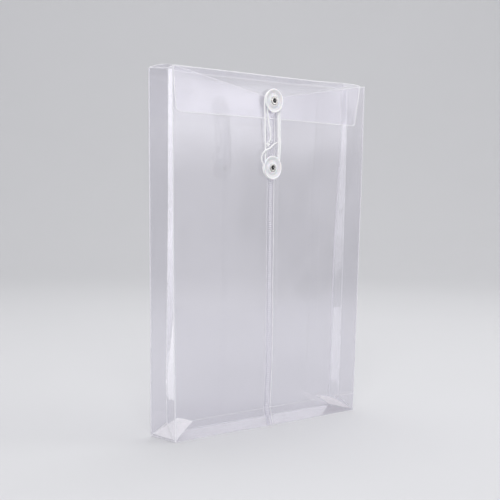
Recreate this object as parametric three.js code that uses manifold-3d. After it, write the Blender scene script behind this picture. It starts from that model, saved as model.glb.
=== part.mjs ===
// Clear plastic document bag that stands on its own base, with a top flap
// closed by a string wound round two riveted buttons.
//
// Millimetres, +Z up, +X to the right and -Y towards the side with the buttons.
// The origin is the middle of the underside, where the bag stands.

import * as THREE from 'three';
import { mergeVertices } from 'three/addons/utils/BufferGeometryUtils.js';
import Module from 'manifold-3d';

const wasm = await Module();
wasm.setup();

// Driving dimensions of the bag
const bagWidth = 235;
const bagHeight = 335;
const bagDepth = 36;
const film = 0.3;
const gussetFold = 5;
const gussetFootRise = 14.5;

// Clearances: at a crease between two panels, between layers that lie together,
// where something turns, and how far a cutting outline reaches past what it cuts
const creaseGap = 0.3;
const layerGap = 0.1;
const turningGap = 0.15;
const cuttingMargin = 1;

// Closing flap and the throat cut in the front
const flapLength = 40.5;
const flapInset = 1;
const flapTaper = 4.5;
const flapCornerRadius = 5;
const flapStandOff = 1;
const throatDepth = 20;
const throatShoulder = 5;
const throatRound = 16;

// Welded seam where the two halves of the front overlap
const seamX = -4.2;
const seamWidth = 10;
const weldWidth = 4;
const weldThickness = 0.3;
const weldPitch = 2;
const weldRibShare = 0.4;
const joggleRun = 3;

// Loose flaps that lie over the two ends of the base
const dustFlapLength = 29;
const dustFlapTipWidth = 23;
const dustFlapLift = THREE.MathUtils.degToRad(29);
const dustFlapSetBack = 1.2;

// Buttons, eyelets and washers
const buttonX = -4.7;
const upperButtonDrop = 23.7;
const buttonSpacing = 62.7;
const buttonRadius = 11.25;
const buttonThickness = 0.9;
const buttonRimHeight = 0.5;
const buttonDishDepth = 0.3;
const buttonBossRadius = 5;
const buttonGrooveRadius = 7.15;
const buttonGrooveWidth = 1.3;
const buttonGrooveDepth = 0.3;
const hubRadius = 4.5;
const hubHeight = 3;
const eyeletRadius = 2.6;
const eyeletWall = 0.6;
const eyeletFlange = 1.5;
const eyeletFlangeThickness = 0.25;
const eyeletRoll = 0.7;
const washerRadius = 5;
const washerThickness = 0.3;

// String
const stringDiameter = 1.6;
const knotRadius = 1.7;
const knotStretch = 1.2;

// Fineness of the round and swept shapes
const arcSegments = 12;
const buttonSides = 40;
const eyeletSides = 24;
const eyeletRollSteps = 6;
const stringSides = 8;
const stringSteps = 112;
const tailSteps = 16;
const turnStepDegrees = 22;
const knotSides = 12;
const knotRings = 8;

// Worked out from the sizes above
const halfWidth = bagWidth / 2;
const halfDepth = bagDepth / 2;
const footHeight = halfDepth;
const rimZ = bagHeight - film - creaseGap;
const lowZ = film + creaseGap / 2;
const topZ = rimZ + creaseGap / 2;
const panelEdgeX = halfWidth - creaseGap / 2;
const footLowZ = lowZ + creaseGap / 2;
const frontY = -halfDepth;
const flapOuterY = frontY - flapStandOff - film;
const upperButtonZ = bagHeight - upperButtonDrop;
const lowerButtonZ = upperButtonZ - buttonSpacing;
const layerStep = film + 2 * layerGap + weldThickness;
const seamLeft = seamX - seamWidth / 2;
const seamRight = seamX + seamWidth / 2;
const holeRadius = eyeletRadius + layerGap;
const hubBore = eyeletRadius + turningGap;

const clearFilm = new THREE.MeshStandardMaterial({
  color: 0xd9d6e2, roughness: 0.12, metalness: 0, transparent: true, opacity: 0.3,
});
const hazyFilm = new THREE.MeshStandardMaterial({
  color: 0xe6e2ee, roughness: 0.35, metalness: 0, transparent: true, opacity: 0.55,
});
const whitePlastic = new THREE.MeshStandardMaterial({ color: 0xf1f0f2, roughness: 0.4, metalness: 0 });
const eyeletMetal = new THREE.MeshStandardMaterial({ color: 0xb9bac0, roughness: 0.25, metalness: 1 });
const whiteString = new THREE.MeshStandardMaterial({ color: 0xf4f3f4, roughness: 0.85, metalness: 0 });

const bag = new THREE.Group();

function addPiece(name, geometry, material) {
  const piece = new THREE.Mesh(geometry, material);
  piece.name = name;
  bag.add(piece);
  return piece;
}

// Moves every side of a convex outline inwards, so that neighbours keep a crease gap
function insetOutline(points, inset) {
  const sides = points.map((start, i) => {
    const end = points[(i + 1) % points.length];
    const along = end.clone().sub(start).normalize();
    const inward = new THREE.Vector2(-along.y, along.x);
    return { start: start.clone().addScaledVector(inward, inset), along };
  });
  return sides.map((side, i) => {
    const before = sides[(i + sides.length - 1) % sides.length];
    const between = side.start.clone().sub(before.start);
    const run = between.cross(side.along) / before.along.cross(side.along);
    return before.start.clone().addScaledVector(before.along, run);
  });
}

// A flat panel of film given by the corners where its creases meet, each side of
// it kept half a crease gap back. Seen from inside the bag the corners run
// anticlockwise, so the film thickens inwards.
function addFacet(name, corners, material) {
  const across = corners[1].clone().sub(corners[0]).normalize();
  const inward = across.clone().cross(corners[2].clone().sub(corners[0])).normalize();
  const up = inward.clone().cross(across);
  const flat = corners.map((corner) => {
    const offset = corner.clone().sub(corners[0]);
    return new THREE.Vector2(offset.dot(across), offset.dot(up));
  });
  const shape = new THREE.Shape(insetOutline(flat, creaseGap / 2));
  const geometry = new THREE.ExtrudeGeometry(shape, { depth: film, bevelEnabled: false });
  const piece = addPiece(name, geometry, material);
  piece.quaternion.setFromRotationMatrix(new THREE.Matrix4().makeBasis(across, up, inward));
  piece.position.copy(corners[0]);
  return piece;
}

function toSolid(geometry) {
  const bare = geometry.clone();
  bare.deleteAttribute('normal');
  bare.deleteAttribute('uv');
  const merged = mergeVertices(bare);
  return new wasm.Manifold(new wasm.Mesh({
    numProp: 3,
    vertProperties: new Float32Array(merged.attributes.position.array),
    triVerts: new Uint32Array(merged.index.array),
  }));
}

function toGeometry(solid) {
  const mesh = solid.getMesh();
  const geometry = new THREE.BufferGeometry();
  geometry.setAttribute('position', new THREE.BufferAttribute(mesh.vertProperties, 3));
  geometry.setIndex(new THREE.BufferAttribute(mesh.triVerts, 1));
  geometry.computeVertexNormals();
  return geometry;
}

// Extrudes an outline drawn in X and Z through the Y range that is given
function extrudeThroughY(shape, nearY, farY) {
  const settings = { depth: farY - nearY, bevelEnabled: false, curveSegments: arcSegments };
  const geometry = new THREE.ExtrudeGeometry(shape, settings);
  geometry.rotateX(Math.PI / 2);
  geometry.translate(0, farY, 0);
  return geometry;
}

// Extrudes an outline drawn in X and Y up through the Z range that is given
function extrudeThroughZ(shape, lowZ, highZ) {
  const geometry = new THREE.ExtrudeGeometry(shape, { depth: highZ - lowZ, bevelEnabled: false });
  geometry.translate(0, 0, lowZ);
  return geometry;
}

function roundHole(x, z, radius) {
  const hole = new THREE.Path();
  hole.absarc(x, z, radius, 0, 2 * Math.PI, true);
  return hole;
}

// Back panel, base panel and the folded sides
function addBackPanel() {
  addFacet('back_panel', [
    new THREE.Vector3(halfWidth, halfDepth, lowZ),
    new THREE.Vector3(halfWidth, halfDepth, topZ),
    new THREE.Vector3(-halfWidth, halfDepth, topZ),
    new THREE.Vector3(-halfWidth, halfDepth, lowZ),
  ], clearFilm);
}

function addBottomPanel() {
  addFacet('bottom_panel', [
    new THREE.Vector3(-halfWidth, -halfDepth, 0),
    new THREE.Vector3(halfWidth, -halfDepth, 0),
    new THREE.Vector3(halfWidth, halfDepth, 0),
    new THREE.Vector3(-halfWidth, halfDepth, 0),
  ], clearFilm);
}

// Each side is three facets: two upright halves that meet at a crease which is
// pressed inwards, and a triangle at the foot between the two diagonal creases,
// which meet below the height of the cross crease
function addGusset(sideName, side) {
  const edgeX = side * halfWidth;
  const creaseX = side * (halfWidth - gussetFold);
  const edgeY = halfDepth - film - creaseGap / 2;
  const back = new THREE.Vector3(edgeX, edgeY, lowZ);
  const backTop = new THREE.Vector3(edgeX, edgeY, topZ);
  const front = new THREE.Vector3(edgeX, -edgeY, lowZ);
  const frontTop = new THREE.Vector3(edgeX, -edgeY, topZ);
  const apex = new THREE.Vector3(creaseX, 0, gussetFootRise);
  const creaseTop = new THREE.Vector3(creaseX, 0, topZ);
  const facing = (corners) => (side < 0 ? corners.reverse() : corners);
  addFacet(`${sideName}_gusset_back`, facing([back, apex, creaseTop, backTop]), clearFilm);
  addFacet(`${sideName}_gusset_front`, facing([front, frontTop, creaseTop, apex]), clearFilm);
  addFacet(`${sideName}_gusset_foot`, facing([back, front, apex]), clearFilm);
}

// A trapezoid hinged at the end of the base, sprung up from it
function addDustFlap(sideName, side) {
  const hingeX = side * (halfWidth - dustFlapSetBack);
  const hingeZ = film + turningGap + dustFlapSetBack / 2;
  const reach = dustFlapLength * Math.cos(dustFlapLift);
  const rise = dustFlapLength * Math.sin(dustFlapLift);
  const halfHinge = halfDepth - film - creaseGap / 2;
  const halfTip = dustFlapTipWidth / 2;
  const corners = [
    new THREE.Vector3(hingeX, -halfHinge, hingeZ),
    new THREE.Vector3(hingeX - side * reach, -halfTip, hingeZ + rise),
    new THREE.Vector3(hingeX - side * reach, halfTip, hingeZ + rise),
    new THREE.Vector3(hingeX, halfHinge, hingeZ),
  ];
  addFacet(`${sideName}_dust_flap`, side < 0 ? corners : corners.reverse(), hazyFilm);
}

// Adds the front's top edge to the outline of one half: the level shoulder, the
// slope of the throat and the round at its bottom, as far as the overlap's edge
function throatOutline(shape, fromX, toX) {
  const bottomZ = rimZ - throatDepth;
  const shoulderX = halfWidth - throatShoulder;
  const leftSlope = throatDepth / (shoulderX + seamX);
  const rightSlope = throatDepth / (shoulderX - seamX);
  if (fromX > toX) {
    shape.lineTo(fromX, rimZ);
    shape.lineTo(shoulderX, rimZ);
    shape.lineTo(seamX + throatRound, bottomZ + throatRound * rightSlope);
    shape.quadraticCurveTo(seamX, bottomZ, toX, bottomZ + (seamX - toX) * leftSlope / 2);
  } else {
    shape.lineTo(toX, bottomZ + (toX - seamX) * rightSlope / 2);
    shape.quadraticCurveTo(seamX, bottomZ, seamX - throatRound, bottomZ + throatRound * leftSlope);
    shape.lineTo(-shoulderX, rimZ);
    shape.lineTo(fromX, rimZ);
  }
}

// The two halves of the front above the cross crease. Each runs past the middle,
// the left one in front, and the right one steps back behind it.
function frontLeftOutline() {
  const shape = new THREE.Shape();
  shape.moveTo(-panelEdgeX, footHeight + creaseGap / 2);
  shape.lineTo(seamRight, footHeight + creaseGap / 2);
  throatOutline(shape, -panelEdgeX, seamRight);
  shape.closePath();
  shape.holes.push(roundHole(buttonX, lowerButtonZ, holeRadius));
  return shape;
}

function frontRightOutline() {
  const shape = new THREE.Shape();
  shape.moveTo(seamLeft, footHeight + creaseGap / 2);
  shape.lineTo(panelEdgeX, footHeight + creaseGap / 2);
  throatOutline(shape, panelEdgeX, seamLeft);
  shape.closePath();
  shape.holes.push(roundHole(buttonX, lowerButtonZ, holeRadius));
  return shape;
}

// Plan of a right half: set back behind the seam, then flush with the front
function joggleOutline() {
  const startX = seamLeft - cuttingMargin;
  const endX = halfWidth;
  const backStep = frontY + layerStep;
  const rampStart = seamRight + layerGap;
  const rampEnd = rampStart + joggleRun;
  const shape = new THREE.Shape();
  shape.moveTo(startX, backStep);
  shape.lineTo(rampStart, backStep);
  shape.lineTo(rampEnd, frontY);
  shape.lineTo(endX, frontY);
  shape.lineTo(endX, frontY + film);
  shape.lineTo(rampEnd, frontY + film);
  shape.lineTo(rampStart, backStep + film);
  shape.lineTo(startX, backStep + film);
  shape.closePath();
  return shape;
}

function addFrontPanels() {
  const left = extrudeThroughY(frontLeftOutline(), frontY, frontY + film);
  addPiece('front_panel_left', left, clearFilm);
  const nearY = frontY - cuttingMargin;
  const farY = frontY + layerStep + film + cuttingMargin;
  const face = toSolid(extrudeThroughY(frontRightOutline(), nearY, farY));
  const plan = toSolid(extrudeThroughZ(joggleOutline(), 0, bagHeight));
  addPiece('front_panel_right', toGeometry(face.intersect(plan)), clearFilm);
}

// The strip below the cross crease, in two halves that overlap in the same way
function addFrontFoot() {
  const highZ = footHeight - creaseGap / 2;
  const left = new THREE.Shape();
  left.moveTo(-panelEdgeX, frontY);
  left.lineTo(seamRight, frontY);
  left.lineTo(seamRight, frontY + film);
  left.lineTo(-panelEdgeX, frontY + film);
  left.closePath();
  addPiece('front_foot_left', extrudeThroughZ(left, footLowZ, highZ), clearFilm);
  const nearY = frontY - cuttingMargin;
  const farY = frontY + layerStep + film + cuttingMargin;
  const box = new THREE.Shape();
  box.moveTo(seamLeft, nearY);
  box.lineTo(panelEdgeX, nearY);
  box.lineTo(panelEdgeX, farY);
  box.lineTo(seamLeft, farY);
  box.closePath();
  const trimmed = toSolid(extrudeThroughZ(box, footLowZ, highZ));
  const plan = toSolid(extrudeThroughZ(joggleOutline(), 0, footHeight));
  addPiece('front_foot_right', toGeometry(trimmed.intersect(plan)), clearFilm);
}

// The weld between the two layers: a ribbed band, one rib to each tooth of the
// welding wheel
function weldGeometry(lowZ, highZ) {
  const faceY = frontY + film + layerGap;
  const count = Math.floor((highZ - lowZ) / weldPitch);
  const pitch = (highZ - lowZ) / count;
  const crestStart = (1 - weldRibShare) / 2;
  const crestEnd = (1 + weldRibShare) / 2;
  const shape = new THREE.Shape();
  shape.moveTo(lowZ, faceY);
  shape.lineTo(lowZ, faceY + weldThickness / 2);
  for (let i = 0; i < count; i += 1) {
    shape.lineTo(lowZ + (i + crestStart) * pitch, faceY + weldThickness);
    shape.lineTo(lowZ + (i + crestEnd) * pitch, faceY + weldThickness);
    shape.lineTo(lowZ + (i + 1) * pitch, faceY + weldThickness / 2);
  }
  shape.lineTo(highZ, faceY);
  shape.closePath();
  const geometry = new THREE.ExtrudeGeometry(shape, { depth: weldWidth, bevelEnabled: false });
  geometry.rotateY(-Math.PI / 2);
  geometry.translate(seamX + weldWidth / 2, 0, 0);
  return geometry;
}

function addSeamWelds() {
  const throatZ = rimZ - throatDepth - creaseGap;
  const belowButton = lowerButtonZ - holeRadius - layerGap;
  const aboveButton = lowerButtonZ + holeRadius + layerGap;
  addPiece('seam_weld_upper', weldGeometry(aboveButton, throatZ), hazyFilm);
  addPiece('seam_weld_lower', weldGeometry(footHeight + creaseGap, belowButton), hazyFilm);
  addPiece('seam_weld_foot', weldGeometry(footLowZ, footHeight - creaseGap), hazyFilm);
}

// Top spine and closing flap, joined by the two creases along the top
function addTopSpine() {
  const backY = halfDepth - film / 2 - creaseGap;
  const nearY = flapOuterY + film / 2 + creaseGap;
  const shape = new THREE.Shape();
  shape.moveTo(-halfWidth + flapInset, nearY);
  shape.lineTo(halfWidth - flapInset, nearY);
  shape.lineTo(halfWidth - flapInset, backY);
  shape.lineTo(-halfWidth + flapInset, backY);
  shape.closePath();
  addPiece('top_spine', extrudeThroughZ(shape, bagHeight - film, bagHeight), clearFilm);
}

function addClosingFlap() {
  const topX = halfWidth - flapInset;
  const lowX = topX - flapTaper;
  const foldZ = bagHeight - film / 2 - creaseGap;
  const edgeZ = bagHeight - flapLength;
  const sideLean = flapTaper / flapLength;
  const shape = new THREE.Shape();
  shape.moveTo(-lowX + flapCornerRadius, edgeZ);
  shape.lineTo(lowX - flapCornerRadius, edgeZ);
  shape.quadraticCurveTo(lowX, edgeZ, lowX + flapCornerRadius * sideLean, edgeZ + flapCornerRadius);
  shape.lineTo(topX, foldZ);
  shape.lineTo(-topX, foldZ);
  shape.lineTo(-lowX - flapCornerRadius * sideLean, edgeZ + flapCornerRadius);
  shape.quadraticCurveTo(-lowX, edgeZ, -lowX + flapCornerRadius, edgeZ);
  shape.holes.push(roundHole(buttonX, upperButtonZ, holeRadius));
  addPiece('closing_flap', extrudeThroughY(shape, flapOuterY, flapOuterY + film), clearFilm);
}

// Turned pieces are drawn as radius and height above the film that they sit on,
// with height pointing out of the front of the bag
function addTurnedPiece(name, profile, faceY, z, segments, material) {
  const points = profile.map(([radius, height]) => new THREE.Vector2(radius, height));
  points.push(points[0].clone());
  const piece = addPiece(name, new THREE.LatheGeometry(points, segments), material);
  piece.rotation.x = Math.PI;
  piece.position.set(buttonX, faceY, z);
}

// A disc on a hub that the string winds round. Its face has a raised rim, a dish
// with a ring groove, and a flat boss in the middle where the eyelet sits.
function buttonProfile() {
  const backZ = hubHeight;
  const bossZ = backZ + buttonThickness;
  const rimTop = bossZ + buttonRimHeight;
  const dishZ = bossZ - buttonDishDepth;
  const grooveZ = dishZ - buttonGrooveDepth;
  const edge = buttonThickness / 2;
  const grooveOuter = buttonGrooveRadius + buttonGrooveWidth / 2;
  const grooveInner = buttonGrooveRadius - buttonGrooveWidth / 2;
  return [
    [hubBore, layerGap],
    [hubRadius, layerGap],
    [hubRadius, backZ],
    [buttonRadius - edge, backZ],
    [buttonRadius, backZ + edge],
    [buttonRadius, rimTop - edge],
    [buttonRadius - edge / 2, rimTop],
    [buttonRadius - 2 * edge, rimTop],
    [buttonRadius - 3 * edge, dishZ],
    [grooveOuter, dishZ],
    [grooveOuter - buttonGrooveDepth, grooveZ],
    [grooveInner + buttonGrooveDepth, grooveZ],
    [grooveInner, dishZ],
    [buttonBossRadius + buttonDishDepth, dishZ],
    [buttonBossRadius, bossZ],
    [hubBore, bossZ],
  ];
}

function washerProfile(backDepth) {
  const nearZ = -backDepth - layerGap;
  return [
    [holeRadius, nearZ - washerThickness],
    [washerRadius, nearZ - washerThickness],
    [washerRadius, nearZ],
    [holeRadius, nearZ],
  ];
}

// A hollow rivet: a tube with a flat flange behind and a lip rolled over in front
function eyeletProfile(backDepth) {
  const bore = eyeletRadius - eyeletWall;
  const flangeRadius = eyeletRadius + eyeletFlange;
  const backZ = -backDepth - 2 * layerGap - washerThickness;
  const lipZ = hubHeight + buttonThickness + layerGap;
  const lipHalf = (flangeRadius - bore) / 2;
  const lip = Array.from({ length: eyeletRollSteps + 1 }, (unused, i) => {
    const angle = (Math.PI * i) / eyeletRollSteps;
    return [bore + lipHalf * (1 + Math.cos(angle)), lipZ + eyeletRoll * Math.sin(angle)];
  });
  return [
    [bore, backZ - eyeletFlangeThickness],
    [flangeRadius, backZ - eyeletFlangeThickness],
    [flangeRadius, backZ],
    [eyeletRadius, backZ],
    [eyeletRadius, lipZ],
    ...lip,
  ];
}

function addButton(place, faceY, z, backDepth) {
  addTurnedPiece(`${place}_button`, buttonProfile(), faceY, z, buttonSides, whitePlastic);
  addTurnedPiece(`${place}_eyelet`, eyeletProfile(backDepth), faceY, z, eyeletSides, eyeletMetal);
  addTurnedPiece(`${place}_washer`, washerProfile(backDepth), faceY, z, eyeletSides, whitePlastic);
}

// Places along the string are given as X and Z from the upper or lower button's
// middle, and as the distance in front of the film
const upperString = (x, z, off) => new THREE.Vector3(buttonX + x, flapOuterY - off, upperButtonZ + z);
const lowerString = (x, z, off) => new THREE.Vector3(buttonX + x, frontY - off, lowerButtonZ + z);

// Part of a turn round a hub, clockwise seen from the front
function turnRound(place, fromRadius, toRadius, fromDegrees, toDegrees, off) {
  const count = Math.round((fromDegrees - toDegrees) / turnStepDegrees);
  return Array.from({ length: count + 1 }, (unused, i) => {
    const share = i / count;
    const angle = THREE.MathUtils.degToRad(fromDegrees + (toDegrees - fromDegrees) * share);
    const radius = fromRadius + (toRadius - fromRadius) * share;
    return place(radius * Math.cos(angle), radius * Math.sin(angle), off);
  });
}

// Tied at the upper hub, the string runs down, under the lower hub, up the left,
// over the upper hub again, down beside itself and under the lower hub, and its
// end crosses back and is tucked behind the two strands on the right
function stringRoute() {
  const off = hubHeight / 2;
  return [
    ...turnRound(upperString, 5.6, 6.6, 172, 0, off),
    upperString(6.8, -12, 1.5),
    upperString(7.1, -24, 1.7),
    lowerString(7.4, 31, 2.8),
    lowerString(7.7, 24, 3.4),
    lowerString(7.9, 17, 2.9),
    lowerString(8.1, 8, 1.9),
    ...turnRound(lowerString, 8.2, 7.2, 0, -180, off),
    lowerString(-7.5, 12, 1.7),
    lowerString(-8.3, 28, 2),
    lowerString(-9.2, 44, 2.5),
    ...turnRound(upperString, 10.1, 8.8, 180, 0, off),
    upperString(9, -12, 1.5),
    upperString(9.3, -24, 1.7),
    lowerString(9.6, 31, 2.8),
    lowerString(9.8, 24, 3.4),
    lowerString(10, 17, 2.9),
    lowerString(10.2, 8, 1.9),
    ...turnRound(lowerString, 10.3, 10.1, 0, -196, off),
    lowerString(-11.9, 6.2, 1.6),
    lowerString(-12.6, 10, 2.2),
    lowerString(-11.4, 14.2, 3.6),
    lowerString(-8.2, 16.6, 4.2),
    lowerString(-4, 17.9, 3.6),
    lowerString(0.5, 20.6, 2.2),
    lowerString(4.2, 22.6, 1.3),
    lowerString(7.4, 23.9, 1.1),
    lowerString(9.8, 24.6, 1.1),
  ];
}

// The short end of the tie hangs between the strands and ends in a knot
function tailRoute() {
  return [
    upperString(-5.8, -1.1, 1.5),
    upperString(-6, -4, 1.5),
    upperString(-6.4, -8, 1.5),
    upperString(-6.3, -12.5, 1.5),
    upperString(-4.8, -20, 1.4),
    lowerString(-2.9, 36, 2.6),
    lowerString(-1.8, 30, 2.4),
    lowerString(-2.5, 26, 2.3),
    lowerString(-3.8, 23.6, 2.2),
  ];
}

const knotCentre = lowerString(-5.1, 21.5, 2.2);

function tubeGeometry(points, steps) {
  const section = new THREE.Shape();
  for (let i = 0; i < stringSides; i += 1) {
    const angle = (2 * Math.PI * i) / stringSides;
    const x = (stringDiameter / 2) * Math.cos(angle);
    const y = (stringDiameter / 2) * Math.sin(angle);
    if (i === 0) {
      section.moveTo(x, y);
    } else {
      section.lineTo(x, y);
    }
  }
  section.closePath();
  const path = new THREE.CatmullRomCurve3(points, false, 'centripetal');
  return new THREE.ExtrudeGeometry(section, { extrudePath: path, steps, bevelEnabled: false });
}

// The least space between parts of the string that aren't next to each other
function leastSelfGap(points) {
  const path = new THREE.CatmullRomCurve3(points, false, 'centripetal');
  const step = stringDiameter / 4;
  const samples = path.getSpacedPoints(Math.ceil(path.getLength() / step));
  const apart = Math.ceil((Math.PI * stringDiameter) / step);
  let least = Infinity;
  samples.forEach((point, i) => {
    for (let j = i + apart; j < samples.length; j += 1) {
      least = Math.min(least, point.distanceTo(samples[j]));
    }
  });
  return { gap: least - stringDiameter, length: path.getLength() };
}

function addString() {
  addPiece('string', tubeGeometry(stringRoute(), stringSteps), whiteString);
  addPiece('string_tail', tubeGeometry(tailRoute(), tailSteps), whiteString);
  const knot = new THREE.SphereGeometry(knotRadius, knotSides, knotRings);
  knot.scale(1, 1, knotStretch);
  knot.translate(knotCentre.x, knotCentre.y, knotCentre.z);
  addPiece('string_knot', knot, whiteString);
  const main = leastSelfGap(stringRoute());
  const tail = leastSelfGap(tailRoute());
  console.log(`string ${main.length.toFixed(1)} mm, least gap to itself ${main.gap.toFixed(2)} mm`);
  console.log(`string tail ${tail.length.toFixed(1)} mm`);
}

addBackPanel();
addBottomPanel();
addGusset('left', -1);
addGusset('right', 1);
addDustFlap('left', -1);
addDustFlap('right', 1);
addFrontPanels();
addFrontFoot();
addSeamWelds();
addTopSpine();
addClosingFlap();
addButton('upper', flapOuterY, upperButtonZ, film);
addButton('lower', frontY, lowerButtonZ, layerStep + film);
addString();

export default bag;
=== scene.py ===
import math

import bmesh
import bpy
from mathutils import Matrix, Vector, noise


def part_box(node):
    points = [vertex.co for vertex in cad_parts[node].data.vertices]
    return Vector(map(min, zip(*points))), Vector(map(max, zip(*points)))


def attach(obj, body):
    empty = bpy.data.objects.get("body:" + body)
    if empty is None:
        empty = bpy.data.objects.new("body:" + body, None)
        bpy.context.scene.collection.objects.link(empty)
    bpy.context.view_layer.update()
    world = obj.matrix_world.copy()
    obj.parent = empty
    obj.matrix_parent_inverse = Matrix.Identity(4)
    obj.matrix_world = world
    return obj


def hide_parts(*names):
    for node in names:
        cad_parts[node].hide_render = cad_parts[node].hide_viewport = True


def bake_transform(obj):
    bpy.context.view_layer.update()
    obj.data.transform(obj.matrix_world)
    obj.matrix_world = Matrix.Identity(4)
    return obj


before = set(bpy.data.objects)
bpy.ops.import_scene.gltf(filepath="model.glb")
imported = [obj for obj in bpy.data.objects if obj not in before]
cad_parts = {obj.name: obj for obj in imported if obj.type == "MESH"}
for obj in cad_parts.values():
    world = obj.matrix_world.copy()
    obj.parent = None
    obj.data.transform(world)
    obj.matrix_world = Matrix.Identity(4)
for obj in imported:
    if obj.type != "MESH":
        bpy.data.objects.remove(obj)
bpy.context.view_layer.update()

# %% [markdown]
# # A clear document bag with a string and button closure
# The bag is one sheet of polypropylene film, folded into a flat box that stands on
# its base. A flap folds over the mouth, and a white string is wound round two
# riveted discs. What is seen of clear film is its cut edges, its whitened creases and
# what it reflects, so those are modelled as geometry and materials of their own.
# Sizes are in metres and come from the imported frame.

# %% Sizes read from the frame
MM = 0.001
FILM = 0.3 * MM
CREASE_GAP = 0.15 * MM
back_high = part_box("back_panel")[1]
flap_low, flap_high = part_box("closing_flap")
spine_low, spine_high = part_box("top_spine")
upper_low, upper_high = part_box("upper_button")
lower_low, lower_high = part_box("lower_button")
HALF_W = back_high[0] + CREASE_GAP
HALF_D = back_high[1]
HEIGHT = spine_high[2]
RIM_Z = back_high[2]
FOOT_Z = HALF_D
FRONT_Y = -HALF_D
FLAP_Y = flap_low[1]
BUTTON_X = (upper_low[0] + upper_high[0]) / 2
UPPER_Z = (upper_low[2] + upper_high[2]) / 2
LOWER_Z = (lower_low[2] + lower_high[2]) / 2
print("width", 2 * HALF_W, "depth", 2 * HALF_D, "height", HEIGHT)
print("buttons at x", BUTTON_X, "z", UPPER_Z, LOWER_Z)

# %% [markdown]
# ## Camera
# A camera can be matched by eye, or worked out from points whose places are known.
# The second way is surer: it was fitted to the corners of the bag in the photograph.
# It looks from the front left, four degrees down, through a long lens, and a small
# upward shift keeps the framing.

# %% Camera
CAMERA_PLACE = Vector((-0.6565, -0.7412, 0.2190))
CAMERA_YAW = math.radians(40.96)
CAMERA_PITCH = math.radians(4.27)
CAMERA_ROLL = math.radians(0.5)
FOCAL_PIXELS = 1020
FRAME_PIXELS = 500
SENSOR = 36
SHIFT_UP = 0.05

level = Vector((math.cos(CAMERA_YAW), -math.sin(CAMERA_YAW), 0))
ahead = Vector((math.sin(CAMERA_YAW), math.cos(CAMERA_YAW), 0))
forward = ahead * math.cos(CAMERA_PITCH) - Vector((0, 0, math.sin(CAMERA_PITCH)))
upright = level.cross(forward)
right = level * math.cos(CAMERA_ROLL) + upright * math.sin(CAMERA_ROLL)
up = right.cross(forward)

camera_data = bpy.data.cameras.new("camera")
camera = bpy.data.objects.new("camera", camera_data)
bpy.context.scene.collection.objects.link(camera)
camera.location = CAMERA_PLACE
camera.rotation_euler = Matrix((right, up, -forward)).transposed().to_euler()
camera_data.sensor_width = SENSOR
camera_data.lens = SENSOR * FOCAL_PIXELS / FRAME_PIXELS
camera_data.shift_y = SHIFT_UP
camera_data.clip_end = 20
bpy.context.scene.camera = camera
print("lens", round(camera_data.lens, 1), "mm")

# %% [markdown]
# ## Small helpers
# A mesh can be written as a list of points, or made with the operators that a hand
# would use. Most pieces here use operators, because each step then reads as real work.
# An operator acts on whatever is selected, so `edit` opens one object alone, and `pick`
# selects its vertices, edges or faces by a test on their place or normal.

# %% Helpers for modelling


def let_go():
    if bpy.context.mode != "OBJECT":
        bpy.ops.object.mode_set(mode="OBJECT")
    bpy.ops.object.select_all(action="DESELECT")


def only(piece):
    """Leaves one piece selected and active."""
    let_go()
    piece.select_set(True)
    bpy.context.view_layer.objects.active = piece


def edit(piece, everything=False):
    """Opens a piece in edit mode, with all of it selected if that is asked."""
    only(piece)
    bpy.ops.object.mode_set(mode="EDIT")
    if everything:
        bpy.ops.mesh.select_all(action="SELECT")


def stop_edit():
    bpy.ops.object.mode_set(mode="OBJECT")


def pick(piece, kind, test):
    """Selects only the verts, edges or faces for which test is true."""
    mesh = bmesh.from_edit_mesh(piece.data)
    bpy.context.tool_settings.mesh_select_mode = (kind == "verts", kind == "edges", kind == "faces")
    for group in (mesh.verts, mesh.edges, mesh.faces):
        for item in group:
            item.select = False
    count = 0
    for item in getattr(mesh, kind):
        if test(item):
            item.select_set(True)
            count += 1
    mesh.select_flush_mode()
    bmesh.update_edit_mesh(piece.data)
    return count


def act_on(piece, kind, test, operator, **settings):
    """Opens a piece, picks what passes the test, runs one operator on it and closes the piece."""
    edit(piece)
    count = pick(piece, kind, test)
    operator(**settings)
    stop_edit()
    return count


def newest(name):
    """Names the object that an operator has just added, and puts its place into its mesh."""
    piece = bpy.context.view_layer.objects.active
    piece.name = name
    piece.data.name = name
    bpy.ops.object.transform_apply(location=True, rotation=True, scale=True)
    return piece


def give(piece, *materials):
    for material in materials:
        piece.data.materials.append(material)


def cut_across(piece, axis, places):
    """Bisects the whole piece at each place along an axis."""
    edit(piece)
    normal = Vector((axis == "x", axis == "y", axis == "z"))
    for place in places:
        bpy.ops.mesh.select_all(action="SELECT")
        bpy.ops.mesh.bisect(plane_co=normal * place, plane_no=normal)
    stop_edit()


def steps(low, high, pitch):
    """The places that part a span into equal steps of about one pitch."""
    count = max(1, round((high - low) / pitch))
    return [low + (high - low) * i / count for i in range(1, count)]


def apply_modifier(piece, kind, **settings):
    only(piece)
    modifier = piece.modifiers.new(kind.lower(), kind)
    for key, value in settings.items():
        setattr(modifier, key, value)
    bpy.ops.object.modifier_apply(modifier=modifier.name)


def smooth_by_angle(piece, degrees):
    only(piece)
    bpy.ops.object.shade_smooth_by_angle(angle=math.radians(degrees))


def face_out(piece):
    edit(piece, True)
    bpy.ops.mesh.normals_make_consistent(inside=False)
    stop_edit()


# %% [markdown]
# ## The string
# A cord is a fixed length of something limp, so its route comes first and its look
# second. It is tied at the upper hub and runs round both hubs, and its end is tucked
# behind the strands on the right. A simulation could wind it, but the photograph shows
# where the strands lie, so the route is listed as places beside each hub: across,
# up, and out from the film, in millimetres. A smooth curve runs through them.

# %% Route of the string
STRING_D = 1.6 * MM
HUB_H = 3 * MM
TURN_STEP = 22
SPAN_STEPS = 24
ROUTE_STEP = 0.8 * MM


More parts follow.
